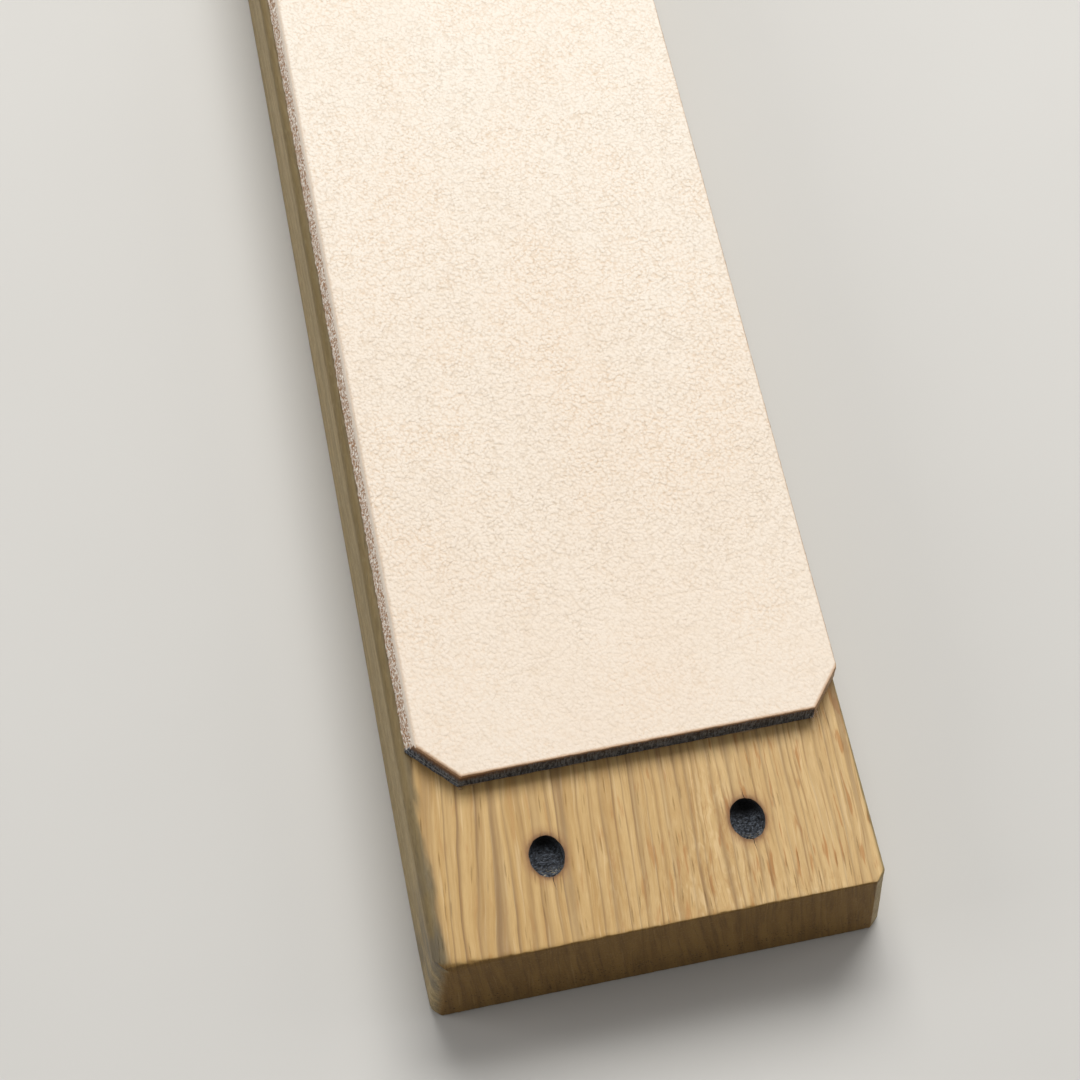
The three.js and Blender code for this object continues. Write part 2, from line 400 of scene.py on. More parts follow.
def oak():
    """The whole outside of the bar; which finish shows depends on the way the surface faces, and painted
    shade puts the sides' darker colour on the left eased top edge.
    """
    g = Graph("oak")
    across = grain_position(g)
    figure = g.join(across, g.y, g.z)
    line = ring_lines(g, across)
    pores = wood_pores(g, figure)
    fibres = g.noise(g.stretch(figure, (6.0, 0.4, 5.0)), detail=3, roughness=0.65)
    colour = planed_top_colour(g, figure, line, fibres)
    colour = g.mix(g.times(pores, 0.2), colour, (0.15, 0.08, 0.032))
    colour = g.mix(g.times(scorch_halo(g, 0.8, 1.14), 0.88), colour, (0.07, 0.03, 0.012))
    colour = g.mix(g.times(scorch_halo(g, 0.95, 1.5), 0.4), colour, (0.26, 0.11, 0.035))
    wobble = g.times(g.noise(g.stretch(g.position, (0.5, 0.35, 0.5)), detail=3), 0.3)
    sideways = g.step(g.plus(g.math("ABSOLUTE", g.facing_x), wobble), 0.3, 0.62)
    # Painted shade: the sides' darker colour also covers the left eased top edge beside the leather, where
    # shadow falls.
    left_edge = -HALF_WIDTH + SIDE_DRAFT + TOP_EDGE_EASING
    blotch = g.noise(g.stretch(g.position, (0.9, 0.22, 0.9), location=(5, 5, 0)), detail=3)
    from_side = g.plus(g.x, g.times(blotch, 1.6))
    eased = g.step(from_side, left_edge + 0.8, left_edge + 1.7, 1.0, 0.0)
    sideways = g.math("MAXIMUM", sideways, eased)
    colour = g.mix(g.times(sideways, 0.94), colour, side_colour(g, fibres))
    colour = g.mix(g.times(left_edge_grey_patch(g), 0.6), colour, (0.10, 0.088, 0.068))
    end, flecks, holes = end_colour(g, across, line)
    turned_x, turned_y = g.math("ABSOLUTE", g.facing_x), g.math("ABSOLUTE", g.facing_y)
    squarely = g.sum((turned_y, 1.0), (turned_x, -0.6), (wobble, 1.0))
    endways = g.step(squarely, 0.32, 0.95)
    colour = g.mix(endways, colour, end)
    roughness = g.plus(g.sum((fibres, 0.3), (endways, 0.12)), 0.42)
    height = g.sum((g.times(pores, g.minus(1.0, endways)), -0.6), (line, -0.3), (fibres, 0.35))
    height = g.plus(height, g.times(endways, g.sum((holes, -1.2), (flecks, 0.8))))
    return g.finish(colour, roughness, height, 0.1, specular=0.28)


def charred_wood():
    """The inside of the burned dots: crusty grey char with painted glints on the near wall below, and
    painted shadow making it near black under the far wall.
    """
    g = Graph("charred_wood")
    along = g.plus(g.y, -DOT_Y)
    crust = g.noise(g.stretch(g.position, (3.4, 2.8, 3.2)), detail=5, roughness=0.75)
    turned = g.stretch(g.position, (2.4, 7.0, 6.0), rotation=(0, 0, 14), location=(3, 1, 8))
    layers = g.noise(turned, detail=4)
    # lit_side is 1 on the near side and 0 under the far wall, which painted shadow turns near black.
    lit_side = g.step(along, 0.7, 2.0, 1.0, 0.0)
    colour = g.mix(g.step(crust, 0.42, 0.62), (0.006, 0.0065, 0.008), (0.075, 0.085, 0.105))
    colour = g.mix(g.times(g.step(layers, 0.5, 0.62), 0.75), colour, (0.19, 0.22, 0.27))
    # Painted glints: cream flecks on the near wall, picked out of the noise below, stand in for highlights.
    turned = g.stretch(g.position, (2.8, 8.0, 7.0), rotation=(0, 0, -10), location=(9, 4, 2))
    patchy_noise = g.noise(turned, detail=3)
    near_wall = g.step(along, -1.9, -0.5, 1.0, 0.0)
    colour = g.mix(g.times(g.step(patchy_noise, 0.57, 0.63), near_wall), colour, (0.62, 0.53, 0.36))
    # Painted shadow: near black under the far wall, which the light from behind leaves in shade.
    colour = g.mix(lit_side, (0.004, 0.004, 0.005), colour)
    rim = g.step(g.plus(g.z, g.times(crust, 0.3)), BAR_TOP - 0.12, BAR_TOP + 0.1)
    colour = g.mix(g.times(rim, 0.7), colour, (0.05, 0.022, 0.01))
    roughness = g.plus(g.times(crust, 0.6), 0.12)
    return g.finish(colour, roughness, g.sum((crust, 1.0), (layers, 0.7)), 0.45, specular=0.6)


def rim_closeness(g):
    """Strongest at the strip's cut outline, falling to 0 a third of a millimetre inside it."""
    step_back = g.times(g.plus(g.x, HALF_WIDTH - CORNER_CLIP), END_SKEW / (2 * HALF_WIDTH))
    from_near = g.minus(g.plus(g.y, -LEATHER_START), step_back)
    from_far = g.minus(-LEATHER_START, g.y)
    from_left = g.plus(g.x, -LEATHER_LEFT)
    from_left_top = g.plus(from_left, -LEATHER_BEVEL)
    from_right = g.minus(LEATHER_RIGHT, g.x)
    closest = g.math("MINIMUM", from_near, from_far)
    for from_side, clip in ((from_left, LEFT_CLIP), (from_right, RIGHT_CLIP)):
        scale = clip[0] * clip[1] / math.hypot(*clip)
        for from_end in (from_near, from_far):
            share = g.sum((from_side, 1 / clip[0]), (from_end, 1 / clip[1]))
            past_clip = g.times(g.plus(share, -1.0), scale)
            closest = g.math("MINIMUM", closest, past_clip)
    fuzzy = g.noise(g.stretch(g.position, (2.5, 2.5, 2.5)), detail=3)
    ends = g.step(g.plus(closest, g.times(fuzzy, -0.16)), 0.06, 0.36, 1.0, 0.0)
    sides = g.step(g.math("MINIMUM", from_left_top, from_right), 0.0, 0.3, 0.5, 0.0)
    return g.math("MAXIMUM", ends, sides)


def leather_top():
    """The skin side: fine round pebbles with tan specks between them, partly the leather's own tan and
    partly painted shade in the creases, smoother towards both ends.
    """
    g = Graph("leather_top")
    bend = g.noise(g.stretch(g.position, (0.9, 0.9, 0.9)), detail=1)
    push = g.times(bend, 0.45)
    shifted = g.join(g.plus(g.x, push), g.minus(g.y, push), g.z)
    pebbles = g.cells(g.stretch(shifted, (2.8, 2.4, 1.0), rotation=(0, 0, 24)), randomness=0.9)
    distance = pebbles.outputs["Distance"]
    dome = g.times(distance, distance)
    turned = g.stretch(shifted, (2.6, 3.0, 1.0), rotation=(0, 0, -15), location=(3, 5, 0))
    freckles = g.noise(turned, detail=2)
    near_fade = g.step(g.y, -HALF_LENGTH + 20, -HALF_LENGTH + 55, 0.5, 1.0)
    far_fade = g.step(g.y, -30, 50, 1.0, 0.5)
    pebbled = g.times(near_fade, far_fade)
    clouds = g.noise(g.stretch(g.position, (0.06, 0.035, 0.1)), detail=3)
    warmth = g.plus(g.step(g.y, -110, 5, 0.75, 0.0), g.step(clouds, 0.3, 0.7, 0.0, 0.25))
    colour = g.mix(warmth, (0.83, 0.76, 0.67), (0.79, 0.675, 0.56))
    mottle = g.noise(g.stretch(g.position, (0.7, 0.6, 1.0)), detail=3, roughness=0.6)
    colour = g.mix(g.times(g.step(mottle, 0.45, 0.75), 0.14), colour, (0.72, 0.56, 0.39))
    tone = g.noise(g.stretch(g.position, (0.12, 0.1, 0.1), location=(4, 8, 2)), detail=2)
    pit_colour = g.mix(g.step(tone, 0.4, 0.6), (0.60, 0.385, 0.20), (0.56, 0.42, 0.28))
    shown = g.step(g.noise(g.stretch(g.position, (0.3, 0.25, 1.0)), detail=3), 0.34, 0.66, 0.75, 1.0)
    # Tan in the creases between pebbles: partly the leather's colour, partly painted crease shade.
    pits = g.times(g.step(distance, 0.45, 0.72), shown, pebbled)
    dots = g.times(g.step(freckles, 0.54, 0.66), shown, pebbled)
    colour = g.mix(g.times(pits, 0.25), colour, pit_colour)
    colour = g.mix(g.times(dots, 0.36), colour, pit_colour)
    specks = g.cells(g.stretch(g.position, (0.16, 0.13, 0.1)))
    speck = g.step(specks.outputs["Distance"], 0.014, 0.026, 1.0, 0.0)
    colour = g.mix(g.times(speck, 0.75), colour, (0.45, 0.18, 0.05))
    colour = g.mix(g.times(rim_closeness(g), 0.75), colour, (0.52, 0.32, 0.175))
    roughness = g.plus(g.times(mottle, 0.2), 0.46)
    folds = g.noise(g.stretch(g.position, (0.35, 1.0, 1.0), rotation=(0, 0, 25)), detail=3, distortion=0.6)
    height = g.sum((g.times(dome, shown, pebbled), -1.7), (g.times(freckles, pebbled), -0.8), (folds, 0.6))
    material = g.finish(colour, roughness, height, 0.06, specular=0.35)
    g.shader.inputs["Sheen Weight"].default_value = 0.05
    return material


def leather_burnt_edge():
    """The ends and clips, scorched when they were cut: brown at the skin, grey felted fibre below."""
    g = Graph("leather_burnt_edge")
    fibres = g.noise(g.stretch(g.position, (5.0, 5.0, 0.8)), detail=4, roughness=0.7)
    layers = g.noise(g.stretch(g.position, (0.6, 0.6, 5.0)), detail=3, roughness=0.6)
    colour = g.mix(g.step(fibres, 0.38, 0.66), (0.033, 0.036, 0.042), (0.20, 0.22, 0.25))
    ash = g.step(g.noise(g.stretch(g.position, (3.0, 3.0, 4.0), location=(1, 2, 3)), detail=3), 0.58, 0.7)
    colour = g.mix(g.times(ash, 0.6), colour, (0.40, 0.41, 0.44))
    colour = g.mix(g.times(g.step(layers, 0.5, 0.7), 0.25), colour, (0.12, 0.085, 0.065))
    ragged = g.plus(g.z, g.times(fibres, -0.5))
    brown = g.step(ragged, LEATHER_TOP - 1.7, LEATHER_TOP - 0.8)
    left = g.step(g.x, -19.0, -10.0, 1.0, 0.2)
    colour = g.mix(g.times(brown, left), colour, (0.17, 0.095, 0.052))
    higher = g.plus(ragged, g.times(left, 0.25))
    rim = g.step(higher, LEATHER_TOP - 0.6, LEATHER_TOP - 0.25)
    colour = g.mix(rim, colour, (0.45, 0.265, 0.15))
    above_seam = g.math("ABSOLUTE", g.plus(g.z, -(LEATHER_BOTTOM + 0.55)))
    seam = g.times(g.step(above_seam, 0.04, 0.13, 1.0, 0.0), g.step(g.x, -17.6, -17.0, 1.0, 0.0))
    colour = g.mix(g.times(seam, 0.7), colour, (0.30, 0.31, 0.335))
    height = g.sum((fibres, 1.0), (layers, 0.6))
    return g.finish(colour, g.plus(g.times(fibres, 0.2), 0.7), height, 0.2, specular=0.2)


def leather_bevel():
    """The bevelled long edge: a smooth pared band under the skin and raw fibre below it."""
    g = Graph("leather_bevel")
    fibres = g.noise(g.stretch(g.position, (3.4, 3.0, 3.4)), detail=4, roughness=0.75)
    clumps = g.cells(g.stretch(g.position, (2.8, 2.8, 2.8)), feature="SMOOTH_F1")
    waver = g.noise(g.stretch(g.position, (0.5, 0.6, 0.5)), detail=3)
    wavering = g.plus(g.z, g.times(waver, -0.4))
    skin = g.step(wavering, LEATHER_BOTTOM + RAW_EDGE_HEIGHT, LEATHER_BOTTOM + 1.6)
    fuzzy = g.mix(g.step(fibres, 0.46, 0.56), (0.42, 0.235, 0.125), (0.97, 0.91, 0.83))
    smooth = g.mix(g.step(fibres, 0.3, 0.8), (0.70, 0.61, 0.52), (0.80, 0.71, 0.61))
    colour = g.mix(skin, fuzzy, smooth)
    rim = g.step(g.z, LEATHER_TOP - 0.3, LEATHER_TOP - 0.05)
    colour = g.mix(g.times(rim, 0.45), colour, (0.70, 0.50, 0.33))
    rough_height = g.sum((fibres, 1.0), (clumps.outputs["Distance"], -0.8))
    height = g.times(rough_height, g.minus(1.0, g.times(skin, 0.85)))
    return g.finish(colour, g.plus(g.times(fibres, 0.2), 0.65), height, 0.22, specular=0.2)


def leather_trimmed_edge():
    """The straight right edge: brown fibre, darker at the skin."""
    g = Graph("leather_trimmed_edge")
    fibres = g.noise(g.stretch(g.position, (6.0, 4.0, 3.0)), detail=4, roughness=0.7)
    colour = g.mix(g.step(fibres, 0.35, 0.7), (0.30, 0.19, 0.11), (0.52, 0.37, 0.24))
    rim = g.step(g.plus(g.z, g.times(fibres, -0.3)), LEATHER_TOP - 0.5, LEATHER_TOP - 0.25)
    colour = g.mix(g.times(rim, 0.8), colour, (0.42, 0.21, 0.09))
    return g.finish(colour, g.plus(g.times(fibres, 0.2), 0.65), fibres, 0.15, specular=0.2)


def leather_flesh():
    """The napped underside, which the glue holds."""
    g = Graph("leather_flesh")
    nap = g.noise(g.stretch(g.position, (2.5, 2.5, 2.5)), detail=5, roughness=0.7)
    colour = g.mix(g.step(nap, 0.3, 0.7), (0.48, 0.35, 0.24), (0.64, 0.50, 0.36))
    return g.finish(colour, g.plus(g.times(nap, 0.15), 0.75), nap, 0.1, specular=0.15)


def loose_fibre():
    """The strands that stand off the raw edge, in tan and off-white."""
    g = Graph("loose_fibre")
    shade = g.noise(g.stretch(g.position, (1.6, 1.2, 1.6)), detail=3)
    colour = g.mix(g.step(shade, 0.35, 0.65), (0.66, 0.44, 0.28), (0.98, 0.94, 0.88))
    return g.finish(colour, g.plus(g.times(shade, 0.2), 0.6), shade, 0.02, specular=0.25)


def dried_glue():
    """Contact adhesive, cloudy brown where it shows."""
    g = Graph("dried_glue")
    cloud = g.noise(g.stretch(g.position, (1.5, 1.5, 2.0)), detail=3)
    colour = g.mix(g.step(cloud, 0.3, 0.7), (0.27, 0.16, 0.07), (0.40, 0.28, 0.16))
    return g.finish(colour, g.plus(g.times(cloud, 0.25), 0.35), cloud, 0.05, specular=0.4)


# ---------------------------------------------------------------- mesh helpers


def shell_over_box(xs, ys, zs):
    """A closed shell of quads on a box lattice: its points, its faces and the side that each face is on."""
    counts = (len(xs), len(ys), len(zs))
    index = -np.ones(counts, int)
    i, j, k = np.indices(counts)
    surface = np.zeros(counts, bool)
    for place, count in ((i, counts[0]), (j, counts[1]), (k, counts[2])):
        surface |= (place == 0) | (place == count - 1)
    index[surface] = np.arange(surface.sum())
    columns = [np.array(values)[place[surface]] for values, place in ((xs, i), (ys, j), (zs, k))]
    points = np.stack(columns, 1)
    grids = {
        "bottom": (index[:, :, 0], True),
        "top": (index[:, :, -1], False),
        "near": (index[:, 0, :], False),
        "far": (index[:, -1, :], True),
        "left": (index[0, :, :], True),
        "right": (index[-1, :, :], False),
    }
    faces, sides = [], []
    for name, (grid, turned) in grids.items():
        a, b, c, d = grid[:-1, :-1], grid[1:, :-1], grid[1:, 1:], grid[:-1, 1:]
        quads = np.stack([a, d, c, b] if turned else [a, b, c, d], -1).reshape(-1, 4)
        faces.append(quads)
        sides += [name] * len(quads)
    return points, np.concatenate(faces), sides


def spread(start, end, step):
    """Even values from start to end, no further apart than step, without the first."""
    count = max(1, math.ceil(abs(end - start) / step))
    return [start + (end - start) * (n + 1) / count for n in range(count)]


def lattice(low, high, low_edges, high_edges, *stretches):
    """Values from low to high: close together at both edges, with (up to, step) stretches between them."""
    values = [low + d for d in low_edges]
    stop = high - high_edges[0]
    for reach, step in stretches:
        values += spread(values[-1], min(reach, stop), step)
    values += [high - d for d in high_edges[1:]]
    return values


def ease(p, q, radius):
    """Rounds the edge between two faces: p and q are each point's distances in from them."""
    inside = (p < radius) & (q < radius)
    dp, dq = radius - p, radius - q
    scale = radius / np.maximum(np.hypot(dp, dq), 1e-9)
    return np.where(inside, radius - dp * scale, p), np.where(inside, radius - dq * scale, q)


def corner_inset(distance, across, along, power=1.0):
    """How far a corner's outline stands in, at a distance from the end: straight at power 1, an arc at 2."""
    share = np.clip(1 - distance / along, 0, 1)
    return across * (1 - np.power(np.maximum(1 - np.power(share, power), 0), 1 / power))


def bumps(points, scale, seed):
    """Smooth noise from -1 to 1 at each point; scale is in cycles per millimetre along each axis."""
    shift = Vector((seed * 7.3, seed * 3.1, seed * 5.7))
    size = Vector(scale)
    return np.array([noise.noise(Vector(p) * size + shift) for p in points.tolist()])


def mesh_object(name, points_mm, faces, materials, face_slots=None):
    mesh = bpy.data.meshes.new(name)
    corners = [[int(point) for point in face] for face in faces]
    mesh.from_pydata((np.asarray(points_mm) * MM).tolist(), [], corners)
    for material in materials:
        mesh.materials.append(material)
    if face_slots is not None:
        mesh.polygons.foreach_set("material_index", np.asarray(face_slots, np.int32))
    mesh.polygons.foreach_set("use_smooth", np.ones(len(mesh.polygons), bool))
    mesh.update()
    piece = bpy.data.objects.new(name, mesh)
    bpy.context.scene.collection.objects.link(piece)
    return piece


def crease_by_angle(piece, degrees):
    piece.data.set_sharp_from_angle(angle=math.radians(degrees))


def apply_modifier(piece, modifier):
    bpy.context.view_layer.objects.active = piece
    with bpy.context.temp_override(object=piece, active_object=piece, selected_objects=[piece]):
        bpy.ops.object.modifier_apply(modifier=modifier.name)


# ---------------------------------------------------------------- oak bar


def bar_points(points):
    """Shapes the box lattice into the bar: eased edges, clipped corners, leaning sides and a skewed end."""
    x, y, z = points.T
    side = np.where(x < 0, -1.0, 1.0)
    from_side = HALF_WIDTH - np.abs(x)
    from_top = BAR_TOP - z
    from_near = y + HALF_LENGTH
    from_far = HALF_LENGTH - y
    from_bottom = z

    worn = 1 + 0.18 * bumps(points, (0.05, 0.12, 0.05), 1)
    top_easing = np.where(x < 0, TOP_EDGE_EASING, RIGHT_EDGE_EASING) * worn
    from_side, from_top = ease(from_side, from_top, top_easing)
    from_side, from_bottom = ease(from_side, BAR_TOP - from_top, BOTTOM_EDGE_EASING * worn)
    from_top = BAR_TOP - from_bottom
    # Chips along the end edges: extra easing in patches.
    patchy_noise = np.clip(bumps(points, (1.5, 0.8, 0.8), 2) - 0.15, 0, 1)
    worn_corner = 0.9 * np.exp(-np.clip(x + HALF_WIDTH, 0, None) / WORN_REACH)
    uneven = 1 + 0.35 * bumps(points, (0.9, 0.9, 0.9), 3)
    end_easing = END_EDGE_EASING * uneven + 0.5 * patchy_noise + worn_corner
    from_near, from_top = ease(from_near, from_top, end_easing)
    from_far, from_top = ease(from_far, from_top, end_easing)
    from_near, from_bottom = ease(from_near, BAR_TOP - from_top, BOTTOM_END_EASING)
    from_far, from_bottom = ease(from_far, from_bottom, BOTTOM_END_EASING)

    low = np.clip(1 - from_bottom / BAR_TOP, 0, 1)
    worn_reach = WORN_CORNER * (1 - 0.3 * low)
    near_inset = np.where(
        side < 0,
        corner_inset(from_near, worn_reach, worn_reach, 1.5) + 0.4 * low * np.exp(-from_near / 6),
        corner_inset(from_near, CORNER_CLIP, CORNER_CLIP, 1.08),
    )
    inset = near_inset + corner_inset(from_far, CORNER_CLIP, CORNER_CLIP, 1.12)
    from_side = from_side + inset * np.clip(1 - from_side / CLIP_REACH, 0, 1)

    half = HALF_WIDTH - SIDE_DRAFT * from_bottom / BAR_TOP
    new_x = side * (HALF_WIDTH - from_side) * half / HALF_WIDTH
    end_share = np.clip(1 - from_near / (2 * HALF_LENGTH), 0, 1)
    new_y = np.where(from_near < HALF_LENGTH, from_near - HALF_LENGTH, HALF_LENGTH - from_far)
    new_y = new_y + skew_at(new_x) * end_share
    return np.stack([new_x, new_y, from_bottom], 1)


def roughen_bar(points):
    """Small dents and a faint waviness, so that no face is perfectly flat."""
    waves = 0.035 * bumps(points, (0.12, 0.04, 0.12), 4)
    near_edge = np.clip(1 - (points[:, 1] + HALF_LENGTH) / 2.5, 0, 1)
    nicks = 0.05 * near_edge * bumps(points, (1.8, 1.2, 1.4), 5)
    moved = points.copy()
    flat = np.clip((BAR_TOP - points[:, 2]) / 1.0, 0, 1)
    moved[:, 0] += np.where(points[:, 0] < 0, 1, -1) * (0.035 + waves) * flat
    moved[:, 1] += np.where(points[:, 1] < 0, 1, 0) * (0.02 + nicks) * np.clip(near_edge * 2, 0, 1)
    return moved


def dot_cutter(name, centre, material, seed):
    """A rough bowl that burns the dot out of the bar, standing a little proud of the top."""
    segments, wall_rings, bowl_rings = 96, 7, 16
    proud, mouth, taper = 0.4, 1.03, 0.05
    bowl_depth = DOT_DEPTH - DOT_WALL_DEPTH
    levels = []
    for n in range(wall_rings + 1):
        height = proud - (proud + DOT_WALL_DEPTH) * n / wall_rings
        levels.append((mouth - taper * n / wall_rings, height))
    for n in range(1, bowl_rings):
        angle = math.pi / 2 * n / bowl_rings
        levels.append(((mouth - taper) * math.cos(angle), -DOT_WALL_DEPTH - bowl_depth * math.sin(angle)))
    points = []
    for ring, height in levels:
        for s in range(segments):
            turn = 2 * math.pi * s / segments
            here = Vector((math.cos(turn) * ring, math.sin(turn) * ring, height))
            rough = noise.noise(here * 2.3 + Vector((seed * 9, 0, 0)))
            fine = noise.noise(here * 6.5 + Vector((0, seed * 5, 0)))
            grow = 1 + 0.03 * rough + 0.02 * fine if height > -DOT_WALL_DEPTH else 1 + 0.05 * rough
            drop = 0.0 if height > -0.1 else 0.2 * rough + 0.14 * fine
            x = centre[0] + here.x * DOT_WIDTH / 2 * grow
            y = centre[1] + here.y * DOT_LENGTH / 2 * grow
            points.append((x, y, BAR_TOP + height + drop))
    floor = len(points)
    points.append((centre[0], centre[1], BAR_TOP - DOT_DEPTH))
    faces = []
    for ring in range(len(levels) - 1):
        for s in range(segments):
            a, b = ring * segments + s, ring * segments + (s + 1) % segments
            faces.append((a, a + segments, b + segments, b))
    last = (len(levels) - 1) * segments
    faces += [(last + s, floor, last + (s + 1) % segments) for s in range(segments)]
    faces.append(tuple(range(segments)))
    return mesh_object(name, points, faces, [material])


def crack_cutter(name, centre, direction, length, width, bend, material):
    """A thin wedge that splits the wood along the grain, from inside a dot outwards."""
    stations = 14
    overlap, proud, depth = 0.5, 0.3, 0.55
    start = DOT_LENGTH / 2 - overlap
    points = []
    for n in range(stations + 1):
        share = n / stations
        y = centre[1] + direction * (start + (length + overlap) * share)
        x = centre[0] + bend * share * share + 0.03 * math.sin(9 * share)
        half = width / 2 * (1 - share) ** 0.7 + 0.008
        points += [(x - half, y, BAR_TOP + proud), (x + half, y, BAR_TOP + proud)]
        points.append((x, y, BAR_TOP - depth * (1 - 0.7 * share)))
    faces = [(0, 1, 2), (3 * stations + 2, 3 * stations + 1, 3 * stations)]
    for n in range(stations):
        a, b = 3 * n, 3 * n + 3
        faces += [(a, b, b + 1, a + 1), (a + 1, b + 1, b + 2, a + 2), (a + 2, b + 2, b, a)]
    if direction > 0:
        faces = [tuple(reversed(face)) for face in faces]
    piece = mesh_object(name, points, faces, [material])
    make_outward(piece)
    return piece


def make_outward(piece):
    """Turns every face to point out of the piece."""
    shape = bmesh.new()
    shape.from_mesh(piece.data)
    bmesh.ops.recalc_face_normals(shape, faces=shape.faces)
    shape.to_mesh(piece.data)
    shape.free()


def cut_from(piece, cutter):
    """Cuts the cutter's shape out of the piece, whose new faces take the cutter's material."""
    modifier = piece.modifiers.new("cut", "BOOLEAN")
    modifier.operation = "DIFFERENCE"
    modifier.solver = "EXACT"
    modifier.object = cutter
    modifier.material_mode = "TRANSFER"
    apply_modifier(piece, modifier)
    bpy.data.objects.remove(cutter)


def build_oak_bar():
    wood, charred = oak(), charred_wood()
    edges = [0, 0.1, 0.22, 0.36, 0.52, 0.7, 0.9, 1.1]
    end_edges = [0, 0.03, 0.08, 0.16, 0.28, 0.45, 0.7, 1.0, 1.35, 1.8, 2.3]
    rising = [0, 0.12, 0.28, 0.48, 0.72, 1.0]
    falling = [1.0, 0.78, 0.58, 0.4, 0.26, 0.15, 0.07, 0]
    xs = lattice(-HALF_WIDTH, HALF_WIDTH, edges, edges[::-1], (HALF_WIDTH, 0.38))
    ys = lattice(-HALF_LENGTH, HALF_LENGTH, end_edges, [2.0, 1.5, 1.2, 0.9, 0.6, 0.4, 0.22, 0.1, 0],
                 (-HALF_LENGTH + 24, 0.6), (HALF_LENGTH - 22, 3.0), (HALF_LENGTH, 1.2))
    zs = lattice(0, BAR_TOP, rising, falling, (BAR_TOP, 0.55))
    points, faces, _ = shell_over_box(xs, ys, zs)
    points = roughen_bar(bar_points(points))
    bar = mesh_object("oak_bar_body", points, faces, [wood])
    for n, centre in enumerate(DOT_CENTRES):
        cut_from(bar, dot_cutter(f"dot_{n}", centre, charred, n + 1))
        for m, (shift, direction, length, width, bend) in enumerate(CRACKS[n]):
            start = (centre[0] + shift, centre[1])
            cut_from(bar, crack_cutter(f"crack_{n}_{m}", start, direction, length, width, bend, charred))
    crease_by_angle(bar, 50)
    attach(bar, "root")
    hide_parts("oak_bar")
    return bar


# ---------------------------------------------------------------- leather strip


def strip_outline(from_near, from_far, height=LEATHER_HEIGHT):
    """The strip's left and right x at distances from its ends. The left clips slope out below the top."""
    cut = 1 - CLIP_SLOPE * (1 - height / LEATHER_HEIGHT)
    near_inset = corner_inset(from_near, LEFT_CLIP[0] * cut, LEFT_CLIP[1] * cut)
    far_inset = corner_inset(from_far, LEFT_CLIP[0] * cut, LEFT_CLIP[1] * cut)
    left = LEATHER_LEFT + near_inset + far_inset
    right = LEATHER_RIGHT - corner_inset(from_near, *RIGHT_CLIP) - corner_inset(from_far, *RIGHT_CLIP)
    return left, right


def strip_points(points):
    """Shapes the box lattice, whose corner is at the origin, into the strip between the outline's sides."""
    x, y, z = points.T
    from_left, from_right = x, LEATHER_WIDTH - x
    from_near, from_far = y, LEATHER_LENGTH - y
    from_top = LEATHER_HEIGHT - z
    rim = RIM_EASING * (1 + 0.25 * bumps(points, (0.4, 0.4, 0.4), 11))
    from_left, from_top = ease(from_left, from_top, rim * 1.6)
    from_right, from_top = ease(from_right, from_top, rim)
    from_near, from_top = ease(from_near, from_top, rim * 0.8)
    from_far, from_top = ease(from_far, from_top, rim * 0.8)
    height = LEATHER_HEIGHT - from_top

    left, right = strip_outline(from_near, from_far, height)
    bevel = np.where(from_left < from_right, LEATHER_BEVEL * height / LEATHER_HEIGHT, 0)
    left = np.maximum(left, LEATHER_LEFT + bevel)
    middle, half = (LEATHER_LEFT + LEATHER_RIGHT) / 2, LEATHER_WIDTH / 2
    left_x = left + (middle - left) * np.clip(from_left / half, 0, 1)
    right_x = right + (middle - right) * np.clip(from_right / half, 0, 1)
    new_x = np.where(x < half, left_x, right_x)
    skew_share = np.clip(from_far / LEATHER_LENGTH, 0, 1)
    base_y = np.where(from_near < LEATHER_LENGTH / 2, LEATHER_START + from_near, -LEATHER_START - from_far)
    new_y = base_y + skew_at(new_x) * skew_share
    return np.stack([new_x, new_y, LEATHER_BOTTOM + height], 1)


def roughen_strip(points, from_near, from_far):
    """Fibrous cut edges: ragged on the raw left edge's lower half, slight elsewhere, and a soft top."""
    moved = points.copy()
    height = points[:, 2] - LEATHER_BOTTOM
    below_skin = np.clip((1.45 - height) / 0.4, 0, 1)
    left, right = strip_outline(from_near, from_far)
    bevel = LEATHER_BEVEL * height / LEATHER_HEIGHT
    left_edge = np.clip(1 - (points[:, 0] - left - bevel) / 0.35, 0, 1)
    right_edge = np.clip(1 - (right - points[:, 0]) / 0.35, 0, 1)
    near_edge = np.clip(1 - from_near / 0.3, 0, 1)
    ragged = bumps(points, (1.4, 1.7, 2.2), 12)
    ragged_fine = bumps(points, (3.3, 2.6, 4.0), 13)
    moved[:, 0] += left_edge * (0.10 * below_skin * ragged + 0.04 * ragged_fine + 0.05)
    moved[:, 0] -= right_edge * (0.03 * ragged + 0.02 * ragged_fine + 0.04)
    moved[:, 1] += near_edge * (0.04 * ragged + 0.035 * ragged_fine + 0.04)
    top = np.clip((height - LEATHER_HEIGHT + 0.3) / 0.3, 0, 1)
    moved[:, 2] += top * (0.03 * bumps(points, (0.09, 0.06, 0.1), 14) - 0.03)
    return moved


